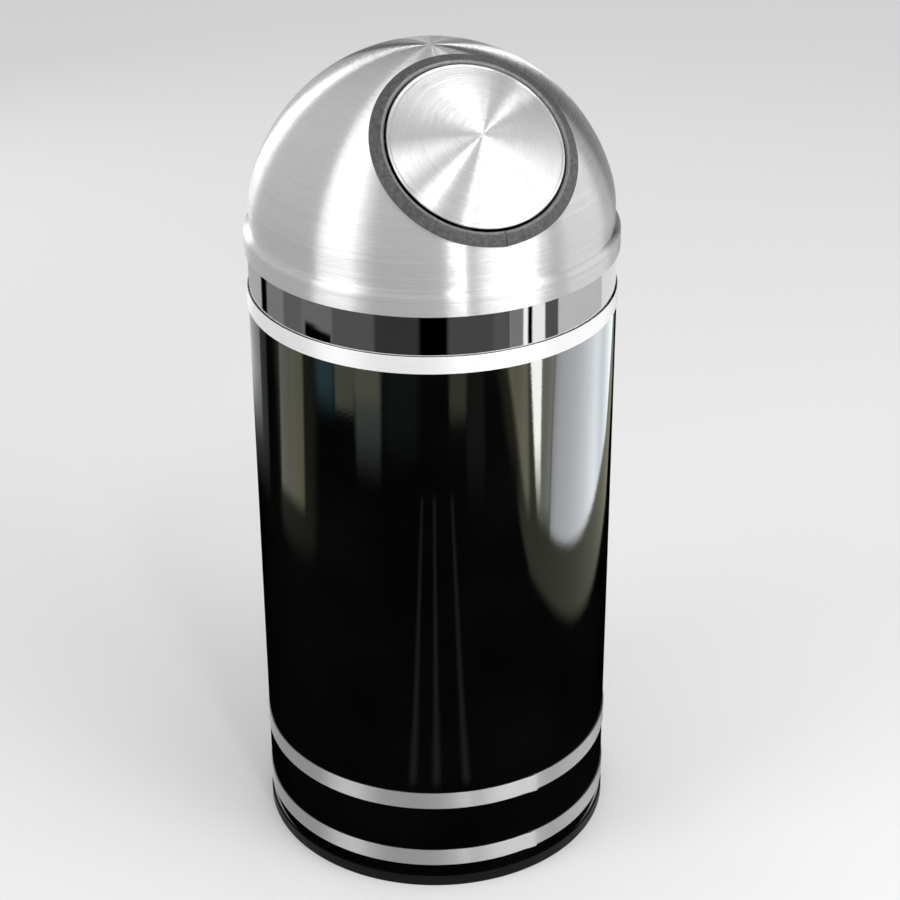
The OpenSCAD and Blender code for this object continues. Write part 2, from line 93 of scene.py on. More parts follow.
# Bands: each one's last end laps over its first, rises there by a share of the sheet, and sags
BAND_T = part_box("lower_band")[1].x - BODY_R - NEST_GAP
BAND_EDGE = 0.0003
BAND_LAP = 2.2
BAND_END_GAP = 1e-4
BAND_RISE = 0.9
BAND_RISE_SHARE = 0.016
BAND_SAG = 0.0009
LOW_SEAM = 12.8
UPPER_SEAM = 192.0

# Dome
DOME_T = 0.0015
SKIRT_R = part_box("dome_shell")[1].x
SKIRT_STEP = 0.006
WALL_R = SKIRT_R - SKIRT_STEP
DOME_FOOT_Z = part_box("dome_shell")[0].z
STEP_Z = DOME_FOOT_Z + 0.018
STEP_TURN = 78
SKIRT_EDGE = 0.0004
CREASE_OUT = 0.0012
CREASE_IN = 0.0004
CREASE_MIDDLE = (0.25, 0.3)
WALL_SUPPORT = 0.0015
FOOT_SUPPORT = 0.001
STEP_SUPPORT = 0.0006
SPRING_Z = DOME_FOOT_Z + 0.0405
SHOULDER_R = 0.5362 * WALL_R
SHOULDER_X = WALL_R - SHOULDER_R
CROWN_H = 0.8874 * WALL_R
CROWN_R = (SHOULDER_X**2 + CROWN_H**2 - SHOULDER_R**2) / (2 * (CROWN_H - SHOULDER_R))
CROWN_Z = SPRING_Z + CROWN_H - CROWN_R
TANGENT = math.atan2(SPRING_Z - CROWN_Z, SHOULDER_X)

# Door, in a frame with its origin at the crown's centre and Z out along the door's axis
DOOR_TILT = math.radians(90 - 47.5)
DOOR_FRAME = Matrix.Translation((0, 0, CROWN_Z)) @ Matrix.Rotation(DOOR_TILT, 4, "X")
OPENING_R = 0.4977 * CROWN_R
CUTTER_STEPS = 256
CUTTER_LENGTH = 0.3
CUTTER_MIDDLE = 0.22
TRIM_T = 0.002
TRIM_MOUTH = 0.0024
TRIM_IN_R = OPENING_R - TRIM_T - TRIM_MOUTH
TRIM_OUT_R = OPENING_R + 0.0095
TRIM_BEND = 0.0034
NOSE_TURN = 2.7
# Where the trim's mouth is painted paler, a painted highlight on its bend: from, to
HIGHLIGHT_IN_R = TRIM_IN_R + 0.003
HIGHLIGHT_OUT_R = TRIM_IN_R + 0.0042

# The trim's butt seam: its gap, how far from it the vinyl is painted dark as shade, and how its
# ends flare
SEAM_ANGLE = math.radians(-90)
SEAM_GAP = 0.0004
SEAM_SHADE_FULL = 0.0004
SEAM_SHADE_END = 0.001
FLARE_SHARE = 0.03
FIRST_FLARE = 0.0007
LAST_FLARE = 0.0012
LAST_LIFT = 0.0004

# The door's disc, whose rim is rolled over a bead
DOOR_GAP = 0.0018
DOOR_R = TRIM_IN_R - DOOR_GAP
DOOR_T = 0.0015
DOOR_SET = 0.0005
FACE_R = CROWN_R - DOOR_SET
BEAD_R = 0.0016
BEAD_DROP = 0.001
BEAD_RHO = DOOR_R - BEAD_R
BEAD_Z = math.sqrt((FACE_R - BEAD_DROP) ** 2 - BEAD_RHO**2)
BEAD_GROOVE = 0.0008
BEAD_START = math.radians(150)
BEAD_END = math.radians(-140)

# Liner
LINER_R = 0.172
LINER_T = 0.0008
LINER_FOOT_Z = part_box("liner_tub")[0].z
LINER_TOP_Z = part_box("liner_tub")[1].z
LINER_RIM_R = 0.003
LINER_RIM_END = math.radians(-150)
LINER_RIM_NECK = 0.0026
LINER_RIM_STEP = 0.0005


# CAD nodes that keep their mesh, by the finish that they take
CAD_SLOTS = {
    "galvanised": ["floor_pan", "liner_bottom", "handle_ears_left", "handle_ears_right"],
    "zinc_wire": ["liner_handle_left", "liner_handle_right", "hinge_bracket", "hinge_leaf"],
    "black_strap": ["door_stops"],
    "rivet_metal": [
        "pan_rivets", "collar_rivets", "liner_rivets", "bracket_studs", "bracket_nuts",
        "leaf_studs", "leaf_nuts", "hinge_pin",
    ],
    "spring_steel": ["door_spring_left", "door_spring_right"],
    "pad_rubber": ["stop_pads"],
}


# Pieces whose finish is a variant of their slot's. The lower two bands take a copy painted darker
# as shade
PIECE_FINISH = {
    "door_disc": "satin_door",
    "lower_band_strip": "satin_band_shaded",
    "middle_band_strip": "satin_band_shaded",
}


# Outlines


def arc(centre, radius, start, end, step=ARC_STEP):
    """Points of an arc about a centre, from one angle to another."""
    count = max(4, math.ceil(abs(radius * (end - start)) / step))
    angles = [start + (end - start) * i / count for i in range(count + 1)]
    return [(centre[0] + radius * math.cos(a), centre[1] + radius * math.sin(a)) for a in angles]


def rounded(outline, radius):
    """A closed outline with each sharp corner turned into a small arc.

    A point beside each arc keeps the faces that it joins flat under smooth shading.
    """
    result = []
    count = len(outline)
    for i, corner in enumerate(outline):
        here = Vector(corner)
        back = Vector(outline[i - 1]) - here
        ahead = Vector(outline[(i + 1) % count]) - here
        if back.angle(-ahead) < math.radians(CORNER_ANGLE):
            result.append(corner)
            continue
        cut = min(radius, back.length / CORNER_PART, ahead.length / CORNER_PART)
        first = here + back.normalized() * cut
        last = here + ahead.normalized() * cut
        result.append(tuple(here + back.normalized() * cut * SUPPORT))
        for share in (0, 0.33, 0.67, 1):
            point = first.lerp(here, share).lerp(here.lerp(last, share), share)
            result.append((point.x, point.y))
        result.append(tuple(here + ahead.normalized() * cut * SUPPORT))
    return result


def box_outline(inner, outer, foot, top):
    return [(inner, foot), (outer, foot), (outer, top), (inner, top)]


# Meshes


def mesh_object(name, points, faces, body, slot, matrix=None):
    """A smooth closed mesh with sharp edges kept, riding on a body."""
    mesh = bpy.data.meshes.new(name)
    mesh.from_pydata(points, [], faces)
    obj = bpy.data.objects.new(name, mesh)
    bpy.context.scene.collection.objects.link(obj)
    work = bmesh.new()
    work.from_mesh(mesh)
    if matrix is not None:
        bmesh.ops.transform(work, matrix=matrix, verts=work.verts)
    bmesh.ops.remove_doubles(work, verts=work.verts, dist=MERGE_GAP)
    bmesh.ops.recalc_face_normals(work, faces=work.faces)
    work.to_mesh(mesh)
    work.free()
    smooth(obj)
    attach(obj, body)
    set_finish(obj, slot)
    return obj


def smooth(obj):
    obj.data.shade_smooth()
    obj.data.set_sharp_from_angle(angle=math.radians(SHARP_ANGLE))


def lathe(
    name, outline, body, slot, matrix=None, start=0.0, sweep=TURN, steps=LATHE_STEPS, shift=None
):
    """Turns a closed outline of (radius, height) points about Z. An open sweep gets end faces.

    shift moves a point, by the share of the sweep that it lies at.
    """
    closed = sweep >= TURN
    rings = steps if closed else steps + 1
    size = len(outline)
    points = []
    for i in range(rings):
        angle = start + sweep * i / steps
        for radius, height in outline:
            if shift:
                radius, height = shift(i / steps, radius, height)
            points.append((radius * math.cos(angle), radius * math.sin(angle), height))
    faces = []
    for i in range(steps):
        here = i * size
        after = (i + 1) % rings * size
        for j in range(size):
            k = (j + 1) % size
            corners = [here + j, here + k, after + k, after + j]
            if outline[j][0] > ON_AXIS or outline[k][0] > ON_AXIS:
                faces.append(corners)
    if not closed:
        faces.append(list(range(size)))
        faces.append([steps * size + j for j in reversed(range(size))])
    return mesh_object(name, points, faces, body, slot, matrix)


def cut_hole(obj, radius, matrix):
    """Cuts a round hole along +Z of a frame out of an object's mesh."""
    cutter_mesh = bpy.data.meshes.new("cutter")
    work = bmesh.new()
    bmesh.ops.create_cone(
        work, cap_ends=True, segments=CUTTER_STEPS, radius1=radius, radius2=radius,
        depth=CUTTER_LENGTH, matrix=matrix @ Matrix.Translation((0, 0, CUTTER_MIDDLE)),
    )
    work.to_mesh(cutter_mesh)
    work.free()
    cutter = bpy.data.objects.new("cutter", cutter_mesh)
    bpy.context.scene.collection.objects.link(cutter)
    modifier = obj.modifiers.new("hole", "BOOLEAN")
    modifier.operation = "DIFFERENCE"
    modifier.solver = "EXACT"
    modifier.object = cutter
    bpy.context.view_layer.update()
    graph = bpy.context.evaluated_depsgraph_get()
    result = bpy.data.meshes.new_from_object(obj.evaluated_get(graph))
    obj.modifiers.clear()
    obj.data = result
    bpy.data.objects.remove(cutter)
    smooth(obj)


# Pieces


def make_base_ring():
    inner = BODY_R - SHELL_T - RING_LIP_W
    slot_in = BODY_R - SHELL_T
    slot_out = BODY_R + NEST_GAP
    outline = [
        (inner, 0), (RING_R, 0), (RING_R, RING_TOP_Z), (slot_out, RING_TOP_Z),
        (slot_out, SHELL_FOOT_Z), (slot_in, SHELL_FOOT_Z), (slot_in, RING_LIP_H),
        (inner, RING_LIP_H),
    ]
    ring = lathe("base_ring_vinyl", rounded(outline, RING_EDGE), "body", "black_vinyl")
    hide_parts("base_ring")
    return ring


def make_body_shell():
    outline = rounded(box_outline(BODY_R - SHELL_T, BODY_R, SHELL_FOOT_Z, SHELL_TOP_Z), SHELL_EDGE)
    shell = lathe("body_shell_enamelled", outline, "body", "black_enamel", steps=FINE_STEPS)
    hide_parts("body_shell")
    return shell


def make_band(node, seam_degrees):
    """A satin strip round the shell, whose last end laps over its first."""
    low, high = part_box(node)
    middle = (low.z + high.z) / 2
    lap = math.radians(BAND_LAP)
    start = math.radians(seam_degrees - 90) - lap

    def shift(share, radius, height):
        rise = max(0.0, (share - 1 + BAND_RISE_SHARE) / BAND_RISE_SHARE)
        rise = rise * rise * (3 - 2 * rise)
        sag = BAND_SAG * rise * (height < middle)
        return radius + rise * (BAND_T + NEST_GAP) * BAND_RISE, height - sag

    inner = BODY_R + NEST_GAP
    outline = rounded(box_outline(inner, inner + BAND_T, low.z, high.z), BAND_EDGE)
    band = lathe(
        node + "_strip", outline, "body", "satin_band",
        start=start, sweep=TURN + lap - BAND_END_GAP, steps=LATHE_STEPS * 2, shift=shift,
    )
    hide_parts(node)
    return band


def make_collar():
    low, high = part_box("neck_collar")
    outline = rounded(box_outline(COLLAR_R - COLLAR_T, COLLAR_R, low.z, high.z), BAND_EDGE)
    collar = lathe("neck_collar_mirror", outline, "body", "mirror_collar", steps=FINE_STEPS)
    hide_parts("neck_collar")
    return collar


def dome_side(inset):
    """Half outline of the dome from its foot to its top, drawn in by the sheet for its inside."""
    wall = WALL_R - inset
    step_r = SKIRT_STEP - inset
    blend = CREASE_OUT if inset == 0 else CREASE_IN
    step = arc((WALL_R, STEP_Z), step_r, 0, math.radians(STEP_TURN), FINE_ARC_STEP)
    crease = step[-1]
    soft = [
        (wall + blend * CREASE_MIDDLE[0], crease[1] + blend * CREASE_MIDDLE[1]),
        (wall, crease[1] + blend),
        (wall, crease[1] + blend + WALL_SUPPORT), (wall, SPRING_Z - WALL_SUPPORT),
    ]
    shoulder = arc((SHOULDER_X, SPRING_Z), SHOULDER_R - inset, 0, TANGENT)
    crown = arc((0, CROWN_Z), CROWN_R - inset, TANGENT, math.pi / 2)
    top = [(0.0, crown[-1][1])]
    skirt_r = SKIRT_R - inset
    skirt = [(skirt_r, DOME_FOOT_Z + FOOT_SUPPORT), (skirt_r, STEP_Z - STEP_SUPPORT)]
    return skirt + step + soft + shoulder + crown[1:-1] + top


def make_dome():
    outer = dome_side(0)
    inner = dome_side(DOME_T)
    foot = [
        (SKIRT_R - DOME_T, DOME_FOOT_Z + SKIRT_EDGE), (SKIRT_R - DOME_T + SKIRT_EDGE, DOME_FOOT_Z),
        (SKIRT_R - SKIRT_EDGE, DOME_FOOT_Z), (SKIRT_R, DOME_FOOT_Z + SKIRT_EDGE),
    ]
    outline = foot + outer + inner[::-1]
    dome = lathe("dome_spun", outline, "dome", "satin_dome", steps=FINE_STEPS)
    cut_hole(dome, OPENING_R, DOOR_FRAME)
    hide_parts("dome_shell")
    return dome


def ball(rho, radius):
    """Height of a sphere over a distance from the door's axis."""
    return math.sqrt(radius * radius - rho * rho)


def sheet_line(near, far, radius):
    """Points along a sphere between two distances from the door's axis."""
    count = max(2, math.ceil(abs(far - near) / ARC_STEP))
    rhos = [near + (far - near) * i / count for i in range(count + 1)]
    return [(rho, ball(rho, radius)) for rho in rhos]


def bend(radius, sphere_r, side):
    """The trim's corner at the hole, from a lip's free face (side 0 out, 1 in) to the wall."""
    rho = TRIM_IN_R + radius
    centre = (rho, ball(rho, sphere_r))
    lean = math.atan2(centre[1], centre[0])
    return arc(centre, radius, lean + side * math.pi, math.pi, LIP_ARC_STEP)


def nose(radius, sphere_r, side):
    """The rounded end of a trim lip, from its free face to its face on the dome."""
    rho = TRIM_OUT_R - radius
    centre = (rho, ball(rho, sphere_r))
    start = math.atan2(centre[1], centre[0]) + side * math.pi
    return arc(centre, radius, start, start + (2 * side - 1) * NOSE_TURN, LIP_ARC_STEP)


def make_trim():
    """A vinyl channel over the hole's edge, with a full mouth, whose two ends meet in a seam."""
    outer = CROWN_R + NEST_GAP
    inner = CROWN_R - DOME_T - NEST_GAP
    half = TRIM_T / 2
    lip_top = nose(half, outer + half, 0)
    lip_foot = nose(half, inner - half, 1)
    top_bend = bend(TRIM_BEND, outer + TRIM_T - TRIM_BEND, 0)
    foot_bend = bend(half, inner - TRIM_T + half, 1)[::-1]
    top = sheet_line(lip_top[0][0], top_bend[0][0], outer + TRIM_T)
    foot = sheet_line(foot_bend[-1][0], lip_foot[0][0], inner - TRIM_T)
    slot_foot = sheet_line(lip_foot[-1][0], OPENING_R - NEST_GAP, inner)
    slot_top = sheet_line(OPENING_R - NEST_GAP, lip_top[-1][0], outer)
    outline = top[:-1] + top_bend + foot_bend + foot[1:-1] + lip_foot[:-1]
    outline += slot_foot + slot_top[:-1] + lip_top[:0:-1]
    gap = SEAM_GAP / TRIM_OUT_R

    def shift(share, radius, height):
        first = max(0.0, 1 - share / FLARE_SHARE)
        last = max(0.0, 1 - (1 - share) / FLARE_SHARE)
        spread = (FIRST_FLARE * first * first + LAST_FLARE * last * last) * (radius > OPENING_R)
        return radius + spread, height + LAST_LIFT * last * last

    trim = lathe(
        "door_edge_trim", outline, "dome", "grey_vinyl", DOOR_FRAME,
        start=SEAM_ANGLE + gap / 2, sweep=TURN - gap, shift=shift,
    )
    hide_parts("door_trim")
    return trim


def make_door():
    """The spun disc, with its edge rolled over a wire bead."""
    face = sheet_line(0.0, BEAD_RHO - BEAD_R - BEAD_GROOVE, FACE_R)
    bead = arc((BEAD_RHO, BEAD_Z), BEAD_R, BEAD_START, BEAD_END, FINE_ARC_STEP)
    back = sheet_line(BEAD_RHO - BEAD_R * 0.5, 0.0, FACE_R - DOOR_T)
    outline = face + bead + back[1:]
    door = lathe("door_disc", outline, "door", "satin_dome", DOOR_FRAME, steps=FINE_STEPS)
    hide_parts("door_panel")
    return door


def make_liner():
    """The liner's wall, with its rim rolled outward."""
    inner = LINER_R - LINER_T
    rim_x = LINER_R + LINER_RIM_R - LINER_T
    rim_z = LINER_TOP_Z - LINER_RIM_R
    rim = arc((rim_x, rim_z), LINER_RIM_R, math.pi, LINER_RIM_END, LINER_RIM_STEP)
    wall = [(LINER_R, rim_z - LINER_RIM_NECK), (LINER_R, LINER_FOOT_Z)]
    outline = [(inner, LINER_FOOT_Z)] + rim + wall
    liner = lathe("liner_wall", outline, "liner", "galvanised")
    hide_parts("liner_tub")
    return liner


# Materials


class Graph:
    """Builds a material's nodes, one call for each."""

    def __init__(self, name):
        self.material = bpy.data.materials.new(name)
        self.material.use_nodes = True
        self.tree = self.material.node_tree
        self.tree.nodes.clear()

    def add(self, kind, settings=None, **inputs):
        node = self.tree.nodes.new("ShaderNode" + kind)
        for key, value in (settings or {}).items():
            setattr(node, key, value)
        for key, value in inputs.items():
            index = int(key[1:]) if key[1:].isdigit() else key.replace("_", " ")
            self.set(node.inputs[index], value)
        return node

    def math(self, operation, *values):
        inputs = {f"i{i}": value for i, value in enumerate(values)}
        return self.add("Math", {"operation": operation}, **inputs).outputs[0]

    def vector(self, operation, *values):
        inputs = {f"i{i}": value for i, value in enumerate(values)}
        return self.add("VectorMath", {"operation": operation}, **inputs).outputs[0]

    def ramp(self, value, low, high, start, end):
        """Maps a value from one range to another, without going past the ends."""
        return self.add(
            "MapRange", None,
            Value=value, From_Min=low, From_Max=high, To_Min=start, To_Max=end,
        ).outputs["Result"]

    def mix(self, factor, first, second):
        node = self.add("Mix", {"data_type": "RGBA"})
        self.set(node.inputs[0], factor)
        self.set(node.inputs[6], first)
        self.set(node.inputs[7], second)
        return node.outputs[2]

    def blend(self, value, low, high, first, second):
        """Goes from one colour to another while a value goes from low to high."""
        return self.mix(self.ramp(value, low, high, 0, 1), first, second)

    def set(self, socket, value):
        if isinstance(value, bpy.types.NodeSocket):
            self.tree.links.new(value, socket)
        else:
            socket.default_value = value

    def place(self):
        return self.add("TexCoord").outputs["Object"]

    def turned_place(self, matrix):
        """Object coordinates in the frame that a piece was turned in."""
        if matrix is None:
            return self.place()
        back = matrix.inverted()
        return self.add(
            "Mapping", None,
            Vector=self.place(), Location=back.translation, Rotation=back.to_euler(),
        ).outputs[0]

    def axes(self, matrix):
        """The three coordinates in the frame that a piece was turned in."""
        return self.add("SeparateXYZ", None, Vector=self.turned_place(matrix)).outputs

    def length(self, x, y):
        squares = self.math("ADD", self.math("MULTIPLY", x, x), self.math("MULTIPLY", y, y))
        return self.math("SQRT", squares)

    def rings(self, matrix, across, along, turn):
        """Coordinates for spun work: radius and height, stretched, and a slow turn."""
        x, y, z = self.axes(matrix)
        radius = self.length(x, y)
        angle = self.math("ARCTAN2", y, x)
        return self.add(
            "CombineXYZ", None,
            X=self.math("MULTIPLY", radius, across),
            Y=self.math("MULTIPLY", z, along),
            Z=self.math("MULTIPLY", angle, turn),
        ).outputs[0]

    def round_way(self, matrix):
        """Direction round the axis that a piece was turned on."""
        matrix = matrix or Matrix.Identity(4)
        middle = self.vector("SUBTRACT", self.place(), matrix.translation)
        axis = matrix.to_3x3() @ Vector((0, 0, 1))
        around = self.vector("CROSS_PRODUCT", axis, middle)
        settings = {"vector_type": "VECTOR", "convert_from": "OBJECT", "convert_to": "WORLD"}
        return self.add("VectorTransform", settings, Vector=around).outputs[0]

    def ring_normal(self, matrix, rings, lean):
        """Normal of spun work: each ring leans across the way it was cut, as its noise says."""
        normal = self.add("NewGeometry").outputs["Normal"]
        across = self.vector("CROSS_PRODUCT", self.round_way(matrix), normal)
        across = self.vector("NORMALIZE", across)
        amount = self.math("MULTIPLY", self.math("SUBTRACT", rings, 0.5), lean)
        return self.vector("NORMALIZE", self.vector("MULTIPLY_ADD", across, amount, normal))

    def noise(self, place, scale, detail=2.0, roughness=0.5):
        return self.add(
            "TexNoise", None,
            Vector=place, Scale=scale, Detail=detail, Roughness=roughness,
        ).outputs[0]

    def bump(self, height, strength, distance, under=None):
        node = self.add("Bump", None, Height=height, Strength=strength, Distance=distance)
        if under is not None:
            self.set(node.inputs["Normal"], under)
        return node.outputs[0]

    def output(self, surface):
        self.add("OutputMaterial", None, i0=surface.outputs[0])
        return self.material

    def finish(self, **inputs):
        return self.output(self.add("BsdfPrincipled", None, **inputs))


def grey(value):
    return (value, value, value, 1.0)


def enamel():
    g = Graph("black_enamel")
    peel = g.noise(g.place(), 420.0, 1.0)
    haze = g.noise(g.place(), 9.0, 4.0)
    return g.finish(
        Base_Color=g.blend(haze, 0.35, 0.7, (0.0012, 0.0012, 0.0014, 1), grey(0.003)),
        Roughness=g.ramp(haze, 0.3, 0.7, 0.035, 0.07),
        IOR=1.5,
        Normal=g.bump(peel, 0.03, 0.0004),
    )


def black_vinyl():
    g = Graph("black_vinyl")
    grain = g.noise(g.place(), 1400.0, 3.0)
    scuff = g.noise(g.place(), 60.0, 5.0, 0.7)
    return g.finish(
        Base_Color=g.blend(scuff, 0.5, 0.8, grey(0.002), grey(0.006)),
        Roughness=g.ramp(scuff, 0.3, 0.7, 0.4, 0.58),
        IOR=1.4,
        Specular_IOR_Level=0.22,
        Normal=g.bump(grain, 0.25, 0.0003),
    )


def grey_vinyl():
    """Grained vinyl, painted paler round the trim's mouth as a highlight and dark at its seam as
    shade.
    """
    g = Graph("grey_vinyl")
    grain = g.noise(g.place(), 900.0, 4.0, 0.6)
    blotch = g.noise(g.place(), 260.0, 3.0, 0.6)
    x, y = g.axes(DOOR_FRAME)[:2]
    # Painted highlight: the trim's mouth is painted paler, standing in for the light on its bend
    bend_highlight = g.ramp(g.length(x, y), HIGHLIGHT_IN_R, HIGHLIGHT_OUT_R, 1, 0)
    lip = g.blend(blotch, 0.35, 0.65, grey(0.035), grey(0.085))
    mouth = g.blend(blotch, 0.35, 0.65, grey(0.14), grey(0.21))
    # Painted shade: the vinyl is painted near black on both sides of the seam, for the shade in
    # its gap
    beside = g.ramp(g.math("ABSOLUTE", x), SEAM_SHADE_FULL, SEAM_SHADE_END, 1, 0)
    beside = g.math("MULTIPLY", beside, g.math("LESS_THAN", y, 0.0))
    return g.finish(
        Base_Color=g.mix(beside, g.mix(bend_highlight, lip, mouth), grey(0.004)),
        Roughness=g.ramp(bend_highlight, 0, 1, 0.5, 0.3),
        IOR=1.5,
        Normal=g.bump(grain, 0.4, 0.0004, g.bump(blotch, 0.3, 0.0006)),
    )


def spun_metal(name, shade, roughness, ring_scale, lean, matrix=None, metallic=1.0):
    """Satin aluminium turned on a lathe: the fine rings spread each highlight across them."""
    g = Graph(name)
    fine = g.noise(g.rings(matrix, ring_scale, ring_scale, 0.35), 1.0, 2.0, 0.6)
    coarse = g.noise(g.rings(matrix, ring_scale / 9, ring_scale / 9, 0.2), 1.0, 2.0, 0.6)
    dull = (shade * 0.96, shade * 0.965, shade * 0.975, 1)
    return g.finish(
        Base_Color=g.blend(fine, 0.3, 0.7, dull, grey(shade * 1.03)),
        Metallic=metallic,
        Roughness=g.ramp(coarse, 0.3, 0.7, roughness * 0.96, roughness * 1.04),
        Anisotropic=1.0,
        Anisotropic_Rotation=0.25,
        Tangent=g.round_way(matrix),
        Normal=g.ring_normal(matrix, fine, lean),
    )


def mirror():
    g = Graph("mirror_collar")
    wave = g.noise(g.rings(None, 30.0, 30.0, 5.0), 1.0, 2.0)
    smear = g.noise(g.place(), 24.0, 4.0, 0.65)
    return g.finish(
        Base_Color=g.blend(smear, 0.3, 0.7, grey(0.84), grey(0.9)),
        Metallic=1.0,
        Roughness=g.ramp(smear, 0.35, 0.75, 0.02, 0.05),
        Normal=g.bump(wave, 0.04, 0.001),
    )


def galvanised():
    g = Graph("galvanised")
    cells = g.add("TexVoronoi", {"feature": "F1"}, Vector=g.place(), Scale=95.0)
    shade = g.add("SeparateColor", None, Color=cells.outputs["Color"])
    mottle = g.noise(g.place(), 300.0, 4.0, 0.6)
    level = g.math("MULTIPLY_ADD", shade.outputs[0], 0.7, 0.15)
    return g.finish(
        Base_Color=g.mix(level, (0.42, 0.43, 0.45, 1), (0.66, 0.67, 0.69, 1)),
        Metallic=0.92,
        Roughness=g.ramp(shade.outputs[1], 0, 1, 0.32, 0.52),
        Normal=g.bump(mottle, 0.15, 0.0003),
    )


def plated(name, shade, roughness):
    g = Graph(name)
    dark = [c * 0.82 for c in shade[:3]] + [1]
    blotch = g.noise(g.place(), 160.0, 4.0, 0.6)
    line = g.noise(g.place(), 900.0, 2.0)
    return g.finish(
        Base_Color=g.blend(blotch, 0.3, 0.7, shade, dark),
        Metallic=1.0,
        Roughness=g.ramp(blotch, 0.3, 0.7, roughness * 0.85, roughness * 1.15),
        Normal=g.bump(line, 0.08, 0.0002),
    )


def rubber():
    g = Graph("pad_rubber")
    grain = g.noise(g.place(), 1100.0, 3.0)
    return g.finish(
        Base_Color=g.blend(grain, 0.3, 0.7, grey(0.014), grey(0.024)),
        Roughness=0.75,
        Normal=g.bump(grain, 0.3, 0.0003),
    )


def make_materials():
    return {
        "black_enamel": enamel(),
        "black_vinyl": black_vinyl(),
        "grey_vinyl": grey_vinyl(),
        "satin_dome": spun_metal("satin_dome", 0.8, 0.28, 40000.0, 6.0),
        "satin_door": spun_metal("satin_door", 0.82, 0.28, 40000.0, 6.0, DOOR_FRAME),
        # Painted light: the upper band's satin is painted near white and partly diffuse
        "satin_band": spun_metal("satin_band", 0.97, 0.5, 12000.0, 2.0, metallic=0.4),
        # Painted shade: the lower bands' copy of the band satin is painted darker
        "satin_band_shaded": spun_metal("satin_band_shaded", 0.6, 0.42, 12000.0, 2.0),
        "mirror_collar": mirror(),
        "galvanised": galvanised(),
        "zinc_wire": plated("zinc_wire", (0.6, 0.61, 0.63, 1), 0.34),
        "rivet_metal": plated("rivet_metal", (0.74, 0.74, 0.75, 1), 0.3),
        "black_strap": plated("black_strap", (0.03, 0.03, 0.031, 1), 0.62),
        "spring_steel": plated("spring_steel", (0.34, 0.35, 0.37, 1), 0.28),
        "pad_rubber": rubber(),
    }


def paint(obj, material):
    obj.data.materials.clear()
    obj.data.materials.append(material)


# Studio

LAMP_DISTANCE = 2.6
LAMP_AIM_Z = 0.75
WORLD_LEVEL = 0.66
FLOOR_HALF = 30.0
FLOOR_Z = -0.0002

# Distances over which the floor turns plain, so that no horizon shows
PLAIN_NEAR = 1.5
PLAIN_FAR = 7.0

# Cards on the floor: how far they reach, and each one's near edge and height
CARD_FAR = 2.9
SATIN_CARD = (0.2, 0.0005)
SHELL_CARD = (0.3, 0.001)
COLLAR_CARD = (0.9, 0.0015)

# Dark cards behind the object: where each starts and ends in degrees to the camera's right, and
# their radius, foot, height, steps and glow
BACK_CARDS = [(138, 167), (174, 190)]
BACK_R = 3.0
BACK_FOOT_Z = 0.45
BACK_H = 2.1
BACK_STEPS = 6
BACK_GLOW = (0.03, 0.03, 0.03)


def link(name, data):
    obj = bpy.data.objects.new(name, data)
    bpy.context.scene.collection.objects.link(obj)
    return obj


def way(turn, rise):
    """Direction from the object, in degrees to the camera's right and above the level."""
    azimuth = CAMERA_AZIMUTH + math.radians(turn)
    rise = math.radians(rise)
    level = math.cos(rise)
    return Vector((math.sin(azimuth) * level, -math.cos(azimuth) * level, math.sin(rise)))


def soft_lamp(name, turn, rise, wide, tall, strength):
    """An area lamp that spans so many degrees as seen from the dome."""
    light = bpy.data.lights.new(name, "AREA")
    light.shape = "RECTANGLE"
    light.size = 2 * LAMP_DISTANCE * math.tan(math.radians(wide / 2))
    light.size_y = 2 * LAMP_DISTANCE * math.tan(math.radians(tall / 2))
    light.energy = strength * math.pi * light.size * light.size_y
    obj = link(name, light)
    direction = way(turn, rise)
    obj.location = Vector((0, 0, LAMP_AIM_Z)) + LAMP_DISTANCE * direction
    obj.rotation_euler = direction.to_track_quat("Z", "Y").to_euler()
    obj.visible_camera = False


def stage_plane(name, half, z, material):
    mesh = bpy.data.meshes.new(name)
    corners = [(-half, -half, z), (half, -half, z), (half, half, z), (-half, half, z)]
    mesh.from_pydata(corners, [], [(0, 1, 2, 3)])
    obj = link(name, mesh)
    paint(obj, material)


def floor_material():
    """Pale to the eye, darker to the light that it throws back, and plain white far off."""
    g = Graph("studio_floor")
    speck = g.noise(g.place(), 700.0, 3.0, 0.6)
    path = g.add("LightPath").outputs
    seen = g.math("MAXIMUM", path["Is Glossy Ray"], path["Is Transmission Ray"])
    seen = g.math("MAXIMUM", path["Is Camera Ray"], seen)
    shade = g.blend(speck, 0.3, 0.7, grey(0.62), grey(0.68))
    pale = g.blend(speck, 0.3, 0.7, grey(0.78), grey(0.82))
    away = g.add("VectorMath", {"operation": "LENGTH"}, i0=g.place()).outputs["Value"]
    pale = g.blend(away, PLAIN_NEAR, PLAIN_FAR, pale, grey(1.0))
    return g.finish(
        Base_Color=g.mix(seen, shade, pale),
        Roughness=0.85,
        Specular_IOR_Level=0.1,
        Normal=g.bump(speck, 0.1, 0.0005),
    )


def card_material(name, clear):
    """Glows in the colour that the card's mesh carries. A clear one lets all else through."""
    g = Graph(name)
    tint = g.add("VertexColor", {"layer_name": "glow"})
    surface = g.add("Emission", None, Color=tint.outputs[0], Strength=1.0)
    if clear:
        through = g.add("BsdfTransparent")
        surface = g.add("AddShader", None, i0=surface.outputs[0], i1=through.outputs[0])
    return g.output(surface)


def smooth_step(value, edge, width):
    share = min(1.0, max(0.0, (value - edge) / width + 0.5))
    return share * share * (3 - 2 * share)


def group(name, *objects):
    """A collection that cards are set for."""
    result = bpy.data.collections.new(name)
    for obj in objects:
        result.objects.link(obj)
    return result


